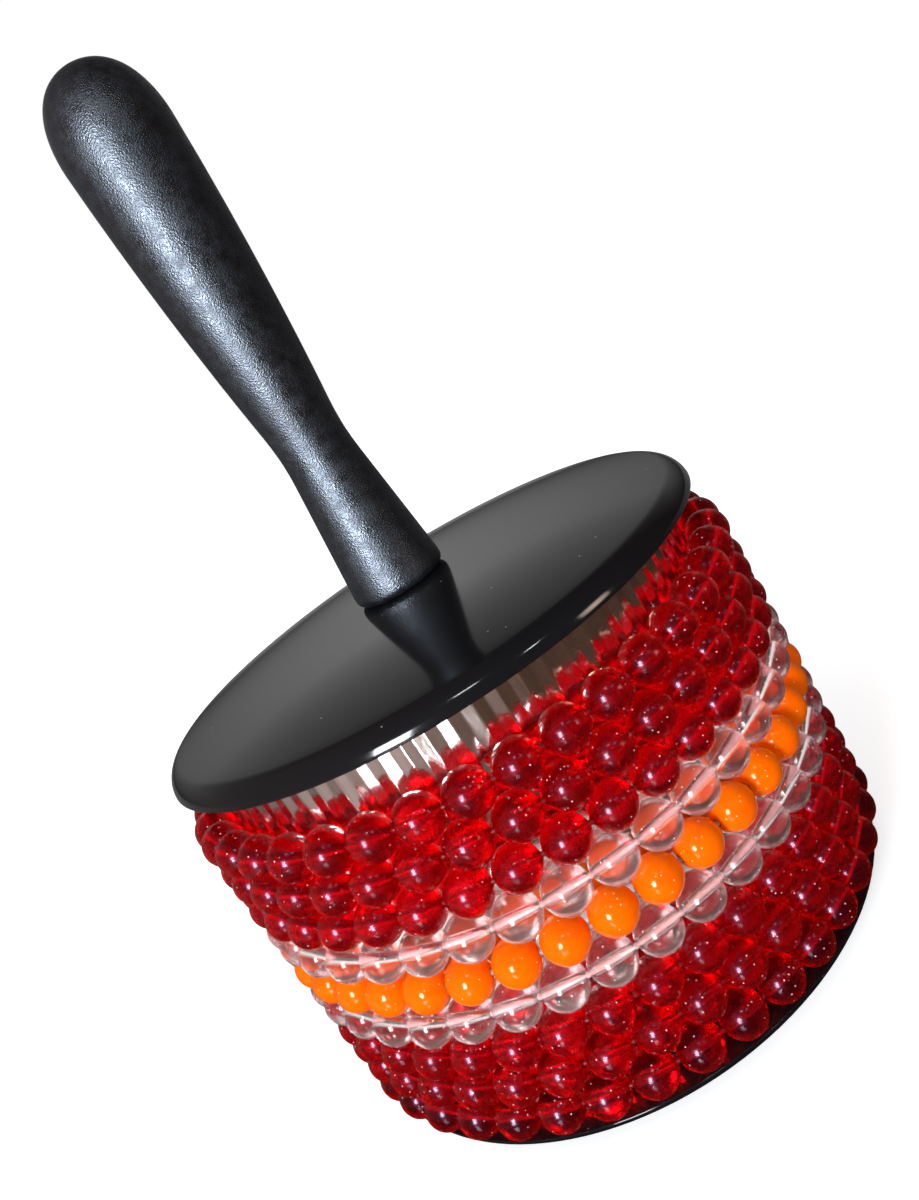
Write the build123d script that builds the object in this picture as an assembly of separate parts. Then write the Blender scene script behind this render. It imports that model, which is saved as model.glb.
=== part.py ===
from build123d import *
import math
import os

# Cabasa: a fluted metal drum between two black discs, wrapped in loops of beads, on a moulded handle.
# Millimetres. The drum's axis is Z, the lower disc stands on Z = 0, the handle points up and -Y is the front.

# End discs
disc_diameter = 140.0
upper_rim = 4.9  # thickness where the edge begins to roll over
lower_rim = 2.4
upper_roll = 4.2  # width of the edge that rolls over
lower_roll = 1.6
edge_rounding = 0.3  # of the rim's corner next to the beads
dome_rise = 5.2  # from the upper disc's rim to the flat that carries the handle
seat_margin = 1.0  # how far that flat reaches past the handle's base
foot_depth = 6.7  # from the lower disc's rim to the flat it stands on
foot_diameter = 96.0
spigot_height = 3.0  # boss on each disc that centres the drum core
spigot_clearance = 0.15

# Drum
drum_length = 92.3  # between the inner faces of the discs
core_wall = 4.0
core_clearance = 0.1
flute_count = 75
flute_depth = 0.35
sheet_thickness = 0.4
sleeve_end_clearance = 0.1

# Bead loops, counted from the handle down
loop_count = 9
beads_per_loop = 40
bead_diameter = 10.2
bead_gap = 0.4  # between neighbours on one cord
bead_clearance = 0.3  # to the flutes
rest_clearance = 0.2  # under the lowest loop
front_gap = 9.85  # bare metal between the upper disc and the highest loop, in front
top_loop_rise = 4.5  # how much higher the highest loop lies behind than in front
cord_diameter = 1.2
bore_clearance = 0.3

# Handle, measured from its base
handle_length = 129.5
base_diameter = 23.2
base_rounding = 2.0
base_height = 3.2  # straight foot below the flare
flare_rounding = 10.0
waist_diameter = 16.0
waist_height = 39.0
waist_rounding = 60.0
grip_diameter = 26.2
grip_height = 112.0  # where the round end begins
grip_crown = 0.9  # how far the grip swells beyond a straight cone
end_fullness = 0.62  # 0 is a plain cone and 1 a square end

# Bolt that clamps the pieces together
bolt_diameter = 6.0
bolt_clearance = 0.25
bolt_engagement = 20.0  # length of bolt inside the handle's insert
head_across_flats = 10.0
head_height = 4.0
washer_diameter = 18.0
washer_thickness = 1.6
recess_clearance = 0.5  # around the washer and below the head
insert_diameter = 10.0
insert_length = 24.0
thread_clearance = 0.05

disc_radius = disc_diameter / 2
bead_radius = bead_diameter / 2
cord_radius = cord_diameter / 2
bore_radius = cord_radius + bore_clearance
bolt_radius = bolt_diameter / 2
base_radius = base_diameter / 2
waist_radius = waist_diameter / 2
grip_radius = grip_diameter / 2

lower_face = foot_depth + lower_rim
upper_face = lower_face + drum_length
seat_height = upper_face + upper_rim + dome_rise

bead_step = 2 * math.pi / beads_per_loop
loop_radius = (bead_diameter + bead_gap) / (2 * math.sin(bead_step / 2))
crest_radius = loop_radius - bead_radius - bead_clearance
core_radius = crest_radius - flute_depth - sheet_thickness - core_clearance
spigot_radius = core_radius - core_wall - spigot_clearance

recess_depth = head_height + washer_thickness + recess_clearance
bolt_hole = bolt_radius + bolt_clearance
bolt_tip = seat_height + bolt_engagement


def tube(outer, inner, bottom, top):
    ring = Circle(outer) - Circle(inner)
    return extrude(Pos(0, 0, bottom) * ring, top - bottom)


def end_disc(rim, roll, flat_radius, rise):
    """Disc with its inner face on Z = 0: an edge that rolls over into a dome with a central flat."""
    flat_height = rim + rise
    flat_edge = (flat_radius, flat_height)
    shoulder = (disc_radius - roll, rim)
    rim_edge = (disc_radius, 0)
    slope = 2 * math.atan2(rise, shoulder[0] - flat_radius)  # of the dome at its shoulder
    with BuildSketch(Plane.XZ) as profile:
        with BuildLine():
            Polyline(flat_edge, (0, flat_height), (0, 0), rim_edge)
            TangentArc(flat_edge, shoulder, tangent=(1, 0))
            TangentArc(shoulder, rim_edge, tangent=(math.cos(slope), -math.sin(slope)))
        make_face()
        fillet(profile.vertices().sort_by_distance(rim_edge)[0], edge_rounding)
    body = revolve(profile.sketch, Axis.Z)
    spigot = Pos(0, 0, -spigot_height) * extrude(Circle(spigot_radius), spigot_height)
    through = Pos(0, 0, -spigot_height) * extrude(Circle(bolt_hole), spigot_height + flat_height)
    return body + spigot - through


def make_upper_disc():
    return Pos(0, 0, upper_face) * end_disc(upper_rim, upper_roll, base_radius + seat_margin, dome_rise)


def make_lower_disc():
    disc = end_disc(lower_rim, lower_roll, foot_diameter / 2, foot_depth)
    recess = extrude(Circle(washer_diameter / 2 + recess_clearance), recess_depth)
    return Pos(0, 0, lower_face) * Rot(180, 0, 0) * disc - recess


def folded_outline(crest):
    """Closed zigzag with one crest and one valley to each flute."""
    points = []
    for k in range(2 * flute_count):
        radius = crest - flute_depth * (k % 2)
        angle = math.pi * k / flute_count
        points.append((radius * math.cos(angle), radius * math.sin(angle)))
    return make_face(Polyline(*points, close=True))


def make_sleeve():
    sheet = folded_outline(crest_radius) - folded_outline(crest_radius - sheet_thickness)
    bottom = lower_face + sleeve_end_clearance
    return extrude(Pos(0, 0, bottom) * sheet, drum_length - 2 * sleeve_end_clearance)


def make_handle():
    waist = (waist_radius, waist_height)
    grip = (grip_radius, grip_height)
    middle = ((waist_radius + grip_radius) / 2 + grip_crown, (waist_height + grip_height) / 2)
    shoulder = (grip_radius, grip_height + end_fullness * (handle_length - grip_height))
    brow = (end_fullness * grip_radius, handle_length)
    with BuildSketch(Plane.XZ) as profile:
        with BuildLine():
            Polyline((0, handle_length), (0, 0), (base_radius, 0), (base_radius, base_height), waist)
            ThreePointArc(waist, middle, grip)
            Bezier(grip, shoulder, brow, (0, handle_length))
        make_face()
        fillet(profile.vertices().sort_by_distance(waist)[0], waist_rounding)
        fillet(profile.vertices().sort_by_distance((base_radius, base_height))[0], flare_rounding)
        fillet(profile.vertices().sort_by_distance((base_radius, 0))[0], base_rounding)
    body = revolve(profile.sketch, Axis.Z)
    pocket = extrude(Circle(insert_diameter / 2), insert_length)
    return Pos(0, 0, seat_height) * (body - pocket)


def make_insert():
    return tube(insert_diameter / 2, bolt_radius + thread_clearance, seat_height, seat_height + insert_length)


def make_bolt():
    under_head = recess_depth - washer_thickness
    hexagon = RegularPolygon(head_across_flats / 2, 6, major_radius=False)
    head = Pos(0, 0, under_head - head_height) * extrude(hexagon, head_height)
    shank = Pos(0, 0, under_head) * extrude(Circle(bolt_radius), bolt_tip - under_head)
    return shank + head


def make_washer():
    return tube(washer_diameter / 2, bolt_hole, recess_depth - washer_thickness, recess_depth)


def loop_height(loop, azimuth):
    """Height of a loop's cord: the loops close up towards the front, where the beads nest."""
    lowest = lower_face + rest_clearance + bead_radius
    highest = upper_face - front_gap - bead_radius
    rise = top_loop_rise * (1 - math.cos(azimuth)) / 2
    share = (loop_count - loop) / (loop_count - 1)
    return lowest + share * (highest - lowest + rise)


def cord_corners(loop):
    """Corners of a loop's cord, which runs straight through each bead and bends between beads."""
    stagger = (loop % 2) / 2
    radius = loop_radius / math.cos(bead_step / 2)
    corners = []
    for k in range(beads_per_loop):
        azimuth = (k + stagger) * bead_step
        across = radius * math.sin(azimuth)
        back = -radius * math.cos(azimuth)
        corners.append(Vector(across, back, loop_height(loop, azimuth)))
    return corners


def make_cord(corners):
    start = (corners[-1] + corners[0]) / 2
    path = Polyline(start, *corners, start)
    section = Plane(origin=start, z_dir=corners[0] - start) * Circle(cord_radius)
    return sweep(section, path=path, transition=Transition.RIGHT)


def make_beads(corners):
    bead = Sphere(bead_radius) - Cylinder(bore_radius, 2 * bead_diameter)
    beads = []
    for k, corner in enumerate(corners):
        run = corner - corners[k - 1]
        beads.append(Plane(origin=corners[k - 1] + run / 2, z_dir=run).location * bead)
    return Compound(children=beads)


nodes = {
    "handle": make_handle(),
    "handle_insert": make_insert(),
    "upper_disc": make_upper_disc(),
    "lower_disc": make_lower_disc(),
    "drum_core": tube(core_radius, core_radius - core_wall, lower_face, upper_face),
    "fluted_sleeve": make_sleeve(),
    "tie_bolt": make_bolt(),
    "bolt_washer": make_washer(),
}
for loop in range(1, loop_count + 1):
    corners = cord_corners(loop)
    nodes[f"loop_{loop}_cord"] = make_cord(corners)
    nodes[f"loop_{loop}_beads"] = make_beads(corners)

os.makedirs("parts", exist_ok=True)
for name, shape in nodes.items():
    export_step(shape, f"parts/{name}.step")
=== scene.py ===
import math
import random
import bmesh
import bpy
from mathutils import Matrix, Quaternion, Vector


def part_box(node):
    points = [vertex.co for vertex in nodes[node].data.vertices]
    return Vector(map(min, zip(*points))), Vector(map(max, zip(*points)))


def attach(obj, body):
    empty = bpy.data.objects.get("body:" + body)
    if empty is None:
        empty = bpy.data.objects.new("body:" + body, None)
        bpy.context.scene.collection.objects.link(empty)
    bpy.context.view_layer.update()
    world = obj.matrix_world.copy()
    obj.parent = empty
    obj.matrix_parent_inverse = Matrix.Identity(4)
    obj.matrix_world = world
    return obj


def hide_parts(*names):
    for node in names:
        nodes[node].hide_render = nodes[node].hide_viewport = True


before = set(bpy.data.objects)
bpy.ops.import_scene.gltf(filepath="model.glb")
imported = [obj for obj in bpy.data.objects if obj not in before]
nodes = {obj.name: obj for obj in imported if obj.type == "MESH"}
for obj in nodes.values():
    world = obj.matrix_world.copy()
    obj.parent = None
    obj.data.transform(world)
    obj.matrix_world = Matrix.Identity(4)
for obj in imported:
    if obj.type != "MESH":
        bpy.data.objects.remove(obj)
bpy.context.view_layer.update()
scene = bpy.context.scene
scene.view_settings.view_transform = "Standard"
print("frame loaded,", len(nodes), "nodes")


# small helpers for node trees and meshes

noiseBand = (0.3, 0.7)  # where most values of a noise lie
bumpDepth = 0.0002  # metres
closeTo = 1e-6  # metres, for heights that count as the same


def startMaterial(name):
    mat = bpy.data.materials.new(name)
    mat.use_nodes = True
    tree = mat.node_tree
    return mat, tree, tree.nodes["Principled BSDF"]


def setInputs(tree, node, inputs):
    for key, value in inputs.items():
        if isinstance(value, bpy.types.NodeSocket):
            tree.links.new(value, node.inputs[key])
        else:
            node.inputs[key].default_value = value


def addNode(tree, kind, inputs=None, **settings):
    made = tree.nodes.new(kind)
    for key, value in settings.items():
        setattr(made, key, value)
    setInputs(tree, made, inputs or {})
    return made


def objectSpace(tree, stretch=(1, 1, 1)):
    coords = addNode(tree, "ShaderNodeTexCoord")
    mapping = addNode(tree, "ShaderNodeMapping", {"Vector": coords.outputs["Object"], "Scale": stretch})
    return mapping.outputs["Vector"]


def noise(tree, place, grain):
    return addNode(tree, "ShaderNodeTexNoise", {"Vector": place, **grain}).outputs["Fac"]


def cells(tree, place, size, **settings):
    made = addNode(tree, "ShaderNodeTexVoronoi", {"Vector": place, "Scale": 1 / size}, **settings)
    return made.outputs["Distance"]


def spread(tree, value, ends, band=(0.0, 1.0)):
    made = addNode(tree, "ShaderNodeMapRange", {"Value": value, "From Min": band[0], "From Max": band[1]})
    setInputs(tree, made, {"To Min": ends[0], "To Max": ends[1]})
    return made.outputs["Result"]


def specks(tree, place, size, reach):
    return spread(tree, cells(tree, place, size), (1, 0), reach)


def emboss(tree, height, strength):
    inputs = {"Height": height, "Strength": strength, "Distance": bumpDepth}
    return addNode(tree, "ShaderNodeBump", inputs).outputs["Normal"]


def blendColours(tree, share, first, second):
    inputs = {0: share, 6: first, 7: second}  # the sockets of a colour mix, which share their names
    return addNode(tree, "ShaderNodeMix", inputs, data_type="RGBA").outputs[2]


def dress(node, mat):
    mesh = nodes[node].data
    mesh.materials.clear()
    mesh.materials.append(mat)


def newObject(name, bm):
    mesh = bpy.data.meshes.new(name)
    bm.to_mesh(mesh)
    bm.free()
    made = bpy.data.objects.new(name, mesh)
    scene.collection.objects.link(made)
    return made


# handle: matt black plastic with a fine pebbled skin

handleLook = {
    "dark": (0.0015, 0.0015, 0.002, 1),
    "worn": (0.004, 0.0045, 0.0055, 1),
    "wornBand": (0.35, 0.7),
    "patches": {"Scale": 360.0, "Detail": 5.0, "Roughness": 0.65},
    "rough": (0.32, 0.50),
    "roughBand": (0.36, 0.64),
    "glint": (0.75, 0.85, 1.0, 1),
    "gloss": 1.0,
    "bend": 1.8,
    "pebble": 0.00032,  # metres across one pebble
    "bump": 0.5,
}


def makeHandlePlastic(look):
    mat, tree, bsdf = startMaterial("handlePlastic")
    place = objectSpace(tree)
    patches = noise(tree, place, look["patches"])
    pebbles = cells(tree, place, look["pebble"], feature="SMOOTH_F1")
    worn = spread(tree, patches, (0, 1), look["wornBand"])
    setInputs(tree, bsdf, {
        "Base Color": blendColours(tree, worn, look["dark"], look["worn"]),
        "Roughness": spread(tree, patches, look["rough"], look["roughBand"]),
        "Normal": emboss(tree, pebbles, look["bump"]),
        "Specular IOR Level": look["gloss"],
        "Specular Tint": look["glint"],
        "IOR": look["bend"],
    })
    return mat


dress("handle", makeHandlePlastic(handleLook))
print("handle dressed")


# end discs: glossy black plastic with a little dust

discLook = {
    "black": (0.006, 0.006, 0.007, 1),
    "haze": {"Scale": 30.0, "Detail": 4.0},
    "rough": (0.07, 0.12),
    "dust": (0.22, 0.21, 0.20, 1),
    "dustCell": 0.006,  # metres from speck to speck
    "dustReach": (0.03, 0.05),  # a speck's edge, in cells
}
upperShape = {  # the upper disc's section in metres, spun finely because its gloss shows every facet
    "hole": 0.00325,
    "spigot": 0.05715,
    "spigotHeight": 0.003,
    "radius": 0.070,
    "rim": 0.0049,  # height at which the edge begins to roll over
    "roll": 0.0042,
    "flat": 0.0126,
    "edge": 0.0004,  # rounding of the corner next to the beads
    "edgeSteps": 5,
    "domeSteps": 24,
    "rollSteps": 14,
    "turns": 240,
    "sharp": 0.6,  # radians from which a fold between faces stays sharp
}


def makeDiscPlastic(look):
    mat, tree, bsdf = startMaterial("discPlastic")
    place = objectSpace(tree)
    dust = specks(tree, place, look["dustCell"], look["dustReach"])
    haze = noise(tree, place, look["haze"])
    setInputs(tree, bsdf, {
        "Base Color": blendColours(tree, dust, look["black"], look["dust"]),
        "Roughness": spread(tree, haze, look["rough"], noiseBand),
    })
    return mat


def arcPoints(start, radius, first, last, steps):
    points = []
    for step in range(steps + 1):
        angle = first + (last - first) * step / steps
        points.append((start[0] + radius * (math.sin(angle) - math.sin(first)),
                       start[1] + radius * (math.cos(angle) - math.cos(first))))
    return points


def discSection(shape, low, high):
    face = low + shape["spigotHeight"]
    shoulder = (shape["radius"] - shape["roll"], face + shape["rim"])
    across = shoulder[0] - shape["flat"]
    slope = 2 * math.atan2(high - shoulder[1], across)  # of the dome at its shoulder
    domeRadius = across / math.sin(slope)
    chord = math.hypot(shape["roll"], shape["rim"])
    end = 2 * math.atan2(shape["rim"], shape["roll"]) - slope
    rollRadius = chord / (2 * math.sin((end - slope) / 2))
    points = [(shape["hole"], high)]
    points += arcPoints((shape["flat"], high), domeRadius, 0, slope, shape["domeSteps"])[:-1]
    points += arcPoints(shoulder, rollRadius, slope, end, shape["rollSteps"])
    points += [(shape["spigot"], face), (shape["spigot"], low), (shape["hole"], low)]
    return points


def spinDisc(shape):
    low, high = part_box("upper_disc")
    face = low.z + shape["spigotHeight"]
    bm = bmesh.new()
    ring = [bm.verts.new((across, 0, up)) for across, up in discSection(shape, low.z, high.z)]
    sides = [bm.edges.new((vert, ring[count - 1])) for count, vert in enumerate(ring)]
    bmesh.ops.spin(bm, geom=ring + sides, cent=(0, 0, 0), axis=(0, 0, 1), angle=math.tau,
                   steps=shape["turns"], use_merge=True)
    bmesh.ops.recalc_face_normals(bm, faces=bm.faces)

    def onRim(vert):
        return abs(vert.co.z - face) < closeTo and vert.co.xy.length > shape["spigot"] + shape["edge"]

    lip = [edge for edge in bm.edges if all(onRim(vert) for vert in edge.verts)]
    bmesh.ops.bevel(bm, geom=lip, offset=shape["edge"], affect="EDGES", segments=shape["edgeSteps"],
                    profile=0.5, material=-1)
    for side in bm.faces:
        side.smooth = True
    for edge in bm.edges:
        edge.smooth = edge.calc_face_angle(0) < shape["sharp"]
    return newObject("domedDisc", bm)


discPlastic = makeDiscPlastic(discLook)
dress("lower_disc", discPlastic)
domedDisc = spinDisc(upperShape)
domedDisc.data.materials.append(discPlastic)
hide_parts("upper_disc")
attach(domedDisc, "drum")
print("discs dressed")


# fluted sleeve: bright folded sheet

sleeveLook = {
    "flutes": 75,
    "depth": 0.00035,
    "sheet": 0.0004,
    "foldRounding": 0.00022,
    "foldSteps": 3,
    "uneven": 0.00004,  # how far a fold may lie inside its true radius
    "seed": 7,
    "steel": (0.86, 0.83, 0.80, 1),
    "shade": (0.62, 0.56, 0.51, 1),
    "shadeBand": (0.4, 0.75),
    "streaks": {"Scale": 420.0, "Detail": 3.0},
    "stretch": (1, 1, 0.08),  # draws the streaks out along the flutes
    "rough": (0.09, 0.18),
    "waves": {"Scale": 450.0, "Detail": 2.0},
    "bump": 0.25,
}


def foldSleeve(look):
    low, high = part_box("fluted_sleeve")
    crest = high.x
    height = high.z - low.z
    dice = random.Random(look["seed"])
    bm = bmesh.new()
    bmesh.ops.create_circle(bm, segments=2 * look["flutes"], radius=crest)
    quarterTurn = Matrix.Rotation(math.radians(-90), 3, "Z")  # puts the first crest on +X
    bmesh.ops.rotate(bm, verts=bm.verts, matrix=quarterTurn)
    for count, vert in enumerate(bm.verts):
        inward = look["depth"] * (count % 2) + dice.uniform(0, look["uneven"])
        vert.co *= 1 - inward / crest
        vert.co.z = low.z
    raised = bmesh.ops.extrude_edge_only(bm, edges=bm.edges)
    lifted = [item for item in raised["geom"] if isinstance(item, bmesh.types.BMVert)]
    bmesh.ops.translate(bm, verts=lifted, vec=(0, 0, height))
    folds = [edge for edge in bm.edges if abs(edge.verts[0].co.z - edge.verts[1].co.z) > height / 2]
    rounded = bmesh.ops.bevel(bm, geom=folds, offset=look["foldRounding"], affect="EDGES",
                              segments=look["foldSteps"], profile=0.5, material=-1)
    for face in rounded["faces"]:
        face.smooth = True
    for edge in bm.edges:
        edge.smooth = not edge.is_boundary
    insideOut = [face for face in bm.faces if face.normal.xy.dot(face.calc_center_median().xy) < 0]
    bmesh.ops.reverse_faces(bm, faces=insideOut)
    sleeve = newObject("foldedSleeve", bm)
    wall = sleeve.modifiers.new("wall", "SOLIDIFY")
    wall.thickness = look["sheet"]
    wall.offset = -1
    return sleeve


def makeSleeveSteel(look):
    mat, tree, bsdf = startMaterial("sleeveSteel")
    streaks = noise(tree, objectSpace(tree, look["stretch"]), look["streaks"])
    waves = noise(tree, objectSpace(tree), look["waves"])
    shade = spread(tree, streaks, (0, 1), look["shadeBand"])
    setInputs(tree, bsdf, {
        "Base Color": blendColours(tree, shade, look["steel"], look["shade"]),
        "Roughness": spread(tree, streaks, look["rough"], noiseBand),
        "Normal": emboss(tree, waves, look["bump"]),
        "Metallic": 1.0,
    })
    return mat


sleeve = foldSleeve(sleeveLook)
sleeve.data.materials.append(makeSleeveSteel(sleeveLook))
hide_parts("fluted_sleeve")
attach(sleeve, "drum")
print("sleeve folded")


# beads: translucent red, clear and opaque orange

# the beads carry pale specks of painted sparkle: pale colour without transmission that stands in for tiny
# glints
beadSkin = {
    "sparkleCell": 0.0017,  # metres from speck to speck
    "sparkleReach": (0.07, 0.11),  # a speck's edge, in cells
    "scuffs": {"Scale": 600.0, "Detail": 3.0},
    "scuffed": (0.6, 1.4),  # least and most roughness, as shares of a bead's own
    "coat": 0.5,
    "coatBend": 1.45,
    "coatRough": 0.14,
}
redLook = {
    "tint": (0.88, 0.006, 0.030, 1),
    # painted sparkle: the pale colour of the specks, standing in for glints
    "paintedSparkle": (1.0, 0.72, 0.78, 1),
    "glint": (0.42, 0.10, 0.34, 1),
    "rough": 0.25,
    "density": 230.0,
    "shadow": (0.9, 0.04, 0.07, 1),
    "through": 0.985,
    "bend": 1.46,
}
clearLook = {
    "tint": (0.98, 0.87, 0.87, 1),
    # painted sparkle: the pale colour of the specks, standing in for glints
    "paintedSparkle": (1.0, 1.0, 1.0, 1),
    "glint": (0.6, 0.55, 0.55, 1),
    "rough": 0.16,
    "density": 12.0,
    "shadow": (1.0, 0.95, 0.95, 1),
    "through": 0.99,
    "bend": 1.49,
}
orangeLook = {
    "colour": (1.0, 0.15, 0.0, 1),
    "deep": (1.0, 0.11, 0.0, 1),
    "deepBand": (0.5, 0.8),
    "swirl": {"Scale": 160.0, "Detail": 3.0},
    # painted sparkle: the pale colour of the specks, standing in for glints
    "paintedSparkle": (1.0, 0.6, 0.25, 1),
    "glint": (1.0, 0.7, 0.45, 1),
    "rough": (0.08, 0.15),
    "milky": 0.5,  # share of the light that spreads under the skin
    "milkyReach": (1.0, 0.25, 0.05),
    "milkyDepth": 0.002,
}


def makeClearPlastic(name, look, skin):
    mat, tree, bsdf = startMaterial(name)
    out = tree.nodes["Material Output"]
    place = objectSpace(tree)
    sparkleSpecks = specks(tree, place, skin["sparkleCell"], skin["sparkleReach"])
    scuffs = noise(tree, place, skin["scuffs"])
    rough = [share * look["rough"] for share in skin["scuffed"]]
    setInputs(tree, bsdf, {
        # painted sparkle: pale specks where the bead stops letting light through, standing in for glints
        "Base Color": blendColours(tree, sparkleSpecks, look["tint"], look["paintedSparkle"]),
        "Transmission Weight": spread(tree, sparkleSpecks, (look["through"], 0)),
        "Roughness": spread(tree, scuffs, rough, noiseBand),
        "IOR": look["bend"],
        "Specular Tint": look["glint"],
        "Coat Weight": skin["coat"],
        "Coat Roughness": skin["coatRough"],
        "Coat IOR": skin["coatBend"],
    })
    path = addNode(tree, "ShaderNodeLightPath")
    shadow = addNode(tree, "ShaderNodeBsdfTransparent", {"Color": look["shadow"]})
    surface = addNode(tree, "ShaderNodeMixShader", {
        0: path.outputs["Is Shadow Ray"],
        1: bsdf.outputs["BSDF"],
        2: shadow.outputs["BSDF"],
    })
    depth = {"Color": look["tint"], "Density": look["density"]}
    inside = addNode(tree, "ShaderNodeVolumeAbsorption", depth)
    setInputs(tree, out, {"Surface": surface.outputs["Shader"], "Volume": inside.outputs["Volume"]})
    return mat


def makeOrangePlastic(look, skin):
    mat, tree, bsdf = startMaterial("orangeBead")
    place = objectSpace(tree)
    sparkleSpecks = specks(tree, place, skin["sparkleCell"], skin["sparkleReach"])
    swirl = noise(tree, place, look["swirl"])
    deep = spread(tree, swirl, (0, 1), look["deepBand"])
    colour = blendColours(tree, deep, look["colour"], look["deep"])
    setInputs(tree, bsdf, {
        # painted sparkle: pale specks standing in for glints
        "Base Color": blendColours(tree, sparkleSpecks, colour, look["paintedSparkle"]),
        "Roughness": spread(tree, swirl, look["rough"], noiseBand),
        "Specular Tint": look["glint"],
        "Subsurface Weight": look["milky"],
        "Subsurface Radius": look["milkyReach"],
        "Subsurface Scale": look["milkyDepth"],
    })
    return mat


beadFinish = {
    "red": makeClearPlastic("redBead", redLook, beadSkin),
    "clear": makeClearPlastic("clearBead", clearLook, beadSkin),
    "orange": makeOrangePlastic(orangeLook, beadSkin),
}
loopColours = ["red", "red", "red", "clear", "orange", "clear", "red", "red", "red"]  # from the handle


# cords: half clear elastic, pale, and red in the red loops

elastic = {
    "twist": {"Scale": 1500.0, "Detail": 2.0},
    "rough": (0.3, 0.5),
    "through": 0.55,
    "bend": 1.45,
}
paleCord = {"pale": (0.90, 0.68, 0.66, 1), "deep": (0.80, 0.48, 0.46, 1)}
redCord = {"pale": (0.34, 0.008, 0.014, 1), "deep": (0.20, 0.005, 0.008, 1)}


def makeElastic(name, look):
    mat, tree, bsdf = startMaterial(name)
    twist = noise(tree, objectSpace(tree), elastic["twist"])
    setInputs(tree, bsdf, {
        "Base Color": blendColours(tree, twist, look["pale"], look["deep"]),
        "Roughness": spread(tree, twist, elastic["rough"]),
        "Transmission Weight": elastic["through"],
        "IOR": elastic["bend"],
    })
    return mat


cordFinish = {"red": makeElastic("redElastic", redCord), "clear": makeElastic("paleElastic", paleCord)}
cordFinish["orange"] = cordFinish["clear"]
for number, colour in enumerate(loopColours, 1):
    dress(f"loop_{number}_beads", beadFinish[colour])
    dress(f"loop_{number}_cord", cordFinish[colour])
print("bead loops dressed")


# pieces out of sight: core, bolt, washer and insert

hiddenLook = {
    "core": (0.02, 0.02, 0.02, 1),
    "zinc": (0.62, 0.63, 0.65, 1),
    "brass": (0.75, 0.55, 0.25, 1),
    "grain": {"Scale": 900.0, "Detail": 3.0},
    "rough": (0.25, 0.5),
}


def makeHidden(name, colour, metal):
    mat, tree, bsdf = startMaterial(name)
    grain = noise(tree, objectSpace(tree), hiddenLook["grain"])
    setInputs(tree, bsdf, {
        "Base Color": hiddenLook[colour],
        "Roughness": spread(tree, grain, hiddenLook["rough"], noiseBand),
        "Metallic": metal,
    })
    return mat


zinc = makeHidden("boltZinc", "zinc", 1.0)
dress("drum_core", makeHidden("corePlastic", "core", 0.0))
dress("handle_insert", makeHidden("insertBrass", "brass", 1.0))
dress("tie_bolt", zinc)
dress("bolt_washer", zinc)
print("inner pieces dressed")


# floor, world and lamps

stageLook = {
    "floorRadius": 3.0,
    "floorSides": 64,
    "floorColour": (0.86, 0.86, 0.86, 1),
    "floorRough": 0.06,
    "floorGlow": (0.6, 1.0),  # for seen rays, near the object and far off: white, but the shadow stays
    "glowReach": (0.10, 0.32),
    "groundLeft": (0.40, 0.30, 0.28, 1),  # what the sleeve mirrors of the ground before it
    "groundRight": (0.10, 0.055, 0.036, 1),
    "groundAcross": (-0.22, 0.06),  # where left turns to right
    "groundReach": (0.6, 1.0),  # where the ground turns to the room
    # dark ground, mirrored behind the object and as painted shadow close to it
    "groundBehindAndShadow": (0.02, 0.015, 0.012, 1),
    "behindFrom": (-0.1, 0.1),
    "paintedShadowReach": (0.15, 0.25),  # painted shadow: ground as near as this is mirrored like the ground behind, standing in for the object's shadow
    "roomLeft": (0.18, 0.133, 0.116, 1),  # what a gloss mirrors from the camera's side of the room
    "roomRight": (0.036, 0.019, 0.014, 1),
    "roomAcross": (-0.6, 0.2),
    "ambient": 0.45,
    "backdrop": 0.68,  # how white a gloss mirrors what lies behind the object
    "backFrom": (0.35, 0.8),
    "backRise": (0.0, 0.35),
    "backFloor": 0.1,
    "backFloorFrom": (0.0, 0.25),
    "backTop": 0.1,  # share of the white that is left overhead
    "backTopFrom": (0.35, 0.75),
    "backSide": 0.4,  # and to the sides
    "backSideFrom": (0.05, 0.5),
}
lamps = {
    "windowLamp": {
        "place": (-0.425, -0.700, 0.25),
        "size": (0.20, 0.30),
        "watts": 7.4,
        "colour": (0.90, 0.95, 1.0),
    },
    "sparkLamp": {
        "place": (-0.02, -0.585, 0.675),
        "size": (0.11, 0.025),
        "watts": 0.35,
        "colour": (1, 1, 1),
    },
    "sideSpark": {
        "place": (0.31, -0.600, 0.564),
        "size": (0.07, 0.02),
        "watts": 0.2,
        "colour": (1, 1, 1),
    },
    "wallLamp": {
        "place": (0.145, -0.153, 0.129),
        "size": (0.045, 0.050),
        "watts": 0.0012,
        "colour": (1, 0.80, 0.64),
        "aim": (0.027, -0.064, 0.103),
        "cone": 24,
    },
}
plainLamp = {"aim": (0, 0, 0.1), "cone": 180}  # for lamps that don't say


def either(tree, first, second):
    return addNode(tree, "ShaderNodeMath", {0: first, 1: second}, operation="MAXIMUM").outputs[0]


def times(tree, first, second):
    return addNode(tree, "ShaderNodeMath", {0: first, 1: second}, operation="MULTIPLY").outputs[0]


def rayKinds(tree):
    path = addNode(tree, "ShaderNodeLightPath")
    seen = either(tree, path.outputs["Is Camera Ray"], path.outputs["Is Transmission Ray"])
    return seen, path.outputs["Is Glossy Ray"]


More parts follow.
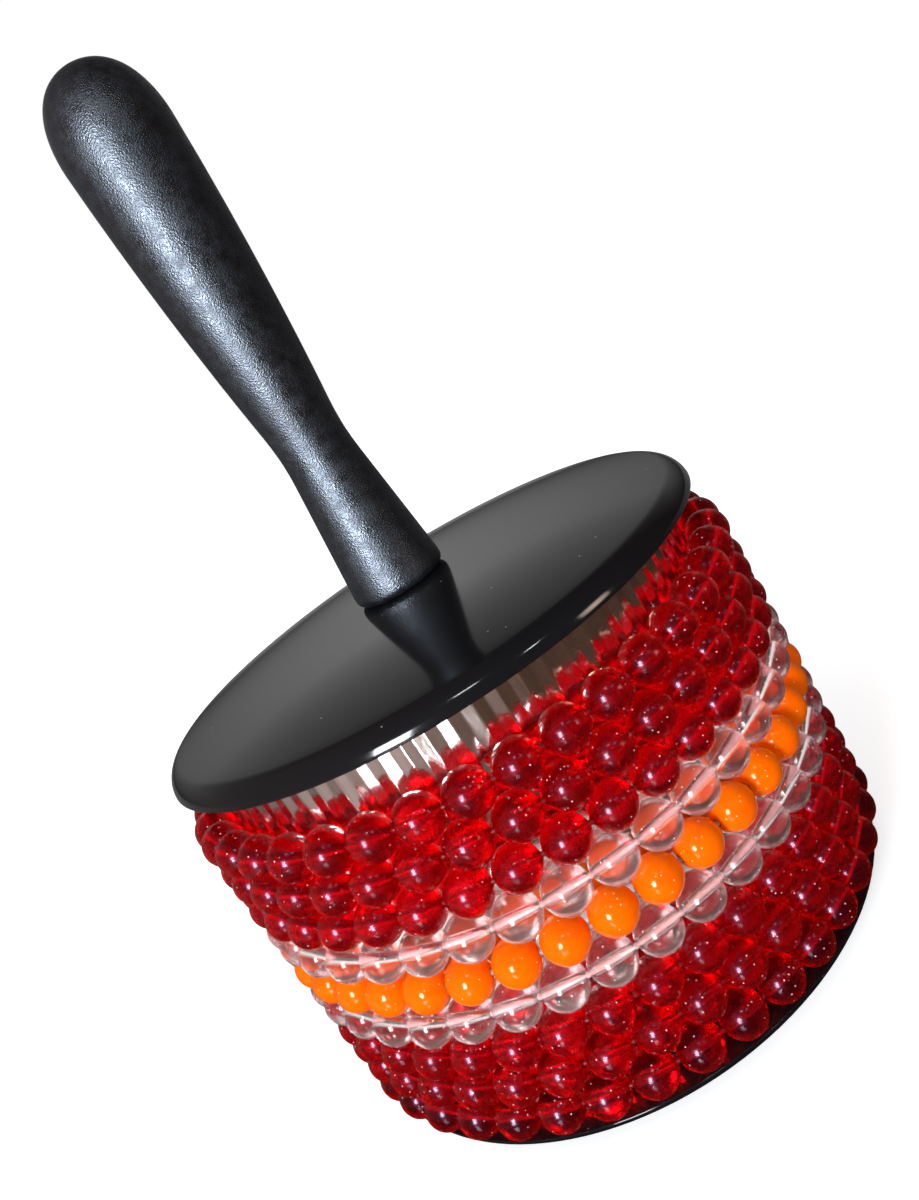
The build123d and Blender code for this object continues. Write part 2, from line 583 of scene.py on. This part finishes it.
def makeFloor(look):
    bm = bmesh.new()
    bmesh.ops.create_circle(bm, cap_ends=True, segments=look["floorSides"], radius=look["floorRadius"])
    floor = newObject("floor", bm)
    mat, tree, bsdf = startMaterial("paleFloor")
    place = addNode(tree, "ShaderNodeTexCoord").outputs["Object"]
    axes = addNode(tree, "ShaderNodeSeparateXYZ", {"Vector": place}).outputs
    reach = addNode(tree, "ShaderNodeVectorMath", {0: place}, operation="LENGTH").outputs["Value"]
    seen, mirrored = rayKinds(tree)
    backGlow = spread(tree, axes["Y"], (0, look["backFloor"]), look["backFloorFrom"])
    bright = either(tree, seen, times(tree, mirrored, backGlow))
    glow = spread(tree, reach, look["floorGlow"], look["glowReach"])
    across = spread(tree, axes["X"], (0, 1), look["groundAcross"])
    ground = blendColours(tree, across, look["groundLeft"], look["groundRight"])
    room = blendColours(tree, across, look["roomLeft"], look["roomRight"])
    before = blendColours(tree, spread(tree, reach, (0, 1), look["groundReach"]), ground, room)
    behind = spread(tree, axes["Y"], (0, 1), look["behindFrom"])
    # painted shadow: the ground close to the object is mirrored dark, as if in the object's shadow
    paintedShadowNear = spread(tree, reach, (1, 0), look["paintedShadowReach"])
    around = blendColours(tree, either(tree, behind, paintedShadowNear), before, look["groundBehindAndShadow"])
    setInputs(tree, bsdf, {
        "Base Color": blendColours(tree, mirrored, look["floorColour"], around),
        "Roughness": look["floorRough"],
        "Emission Color": (1, 1, 1, 1),
        "Emission Strength": times(tree, glow, bright),
    })
    floor.data.materials.append(mat)


def makeWorld(look):
    world = bpy.data.worlds.new("studio")
    scene.world = world
    world.use_nodes = True
    tree = world.node_tree
    tree.nodes.clear()
    coords = addNode(tree, "ShaderNodeTexCoord")
    axes = addNode(tree, "ShaderNodeSeparateXYZ", {"Vector": coords.outputs["Generated"]}).outputs
    seen, mirrored = rayKinds(tree)
    across = spread(tree, axes["X"], (0, 1), look["roomAcross"])
    room = blendColours(tree, across, look["roomLeft"], look["roomRight"])
    rising = spread(tree, axes["Z"], (look["backFloor"], look["backdrop"]), look["backRise"])
    fading = spread(tree, axes["Z"], (1, look["backTop"]), look["backTopFrom"])
    aside = addNode(tree, "ShaderNodeMath", {0: axes["X"]}, operation="ABSOLUTE").outputs[0]
    narrow = spread(tree, aside, (1, look["backSide"]), look["backSideFrom"])
    white = times(tree, times(tree, rising, fading), narrow)
    behind = spread(tree, axes["Y"], (0, 1), look["backFrom"])
    backdrop = blendColours(tree, behind, room, white)
    plain = blendColours(tree, seen, (look["ambient"],) * 3 + (1,), (1, 1, 1, 1))
    light = addNode(tree, "ShaderNodeBackground", {"Color": blendColours(tree, mirrored, plain, backdrop)})
    out = addNode(tree, "ShaderNodeOutputWorld")
    tree.links.new(light.outputs["Background"], out.inputs["Surface"])


def addLamp(name, look):
    lamp = bpy.data.lights.new(name, "AREA")
    lamp.shape = "RECTANGLE"
    lamp.size, lamp.size_y = look["size"]
    lamp.energy = look["watts"]
    lamp.color = look["colour"]
    lamp.spread = math.radians(look["cone"])
    holder = bpy.data.objects.new(name, lamp)
    scene.collection.objects.link(holder)
    holder.location = look["place"]
    ahead = Vector(look["aim"]) - holder.location
    holder.rotation_euler = ahead.to_track_quat("-Z", "Y").to_euler()


makeFloor(stageLook)
makeWorld(stageLook)
for name, look in lamps.items():
    addLamp(name, {**plainLamp, **look})
print("stage lit")


# camera at the photograph's viewing angle

cameraLook = {
    "place": (0, -0.2440, 0.1638),
    "target": (0.0093, -0.0009, 0.1006),
    "roll": -32.26,
    "lens": 31.49,
    "sensor": 36.0,
    "nearest": 0.01,
}


def makeCamera(look):
    data = bpy.data.cameras.new("camera")
    data.sensor_fit = "VERTICAL"
    data.sensor_height = look["sensor"]
    data.lens = look["lens"]
    data.clip_start = look["nearest"]
    holder = bpy.data.objects.new("camera", data)
    scene.collection.objects.link(holder)
    ahead = (Vector(look["target"]) - Vector(look["place"])).to_track_quat("-Z", "Y")
    turn = ahead @ Quaternion((0, 0, 1), math.radians(look["roll"]))
    holder.matrix_world = Matrix.Translation(look["place"]) @ turn.to_matrix().to_4x4()
    scene.camera = holder


makeCamera(cameraLook)
print("scene ready")
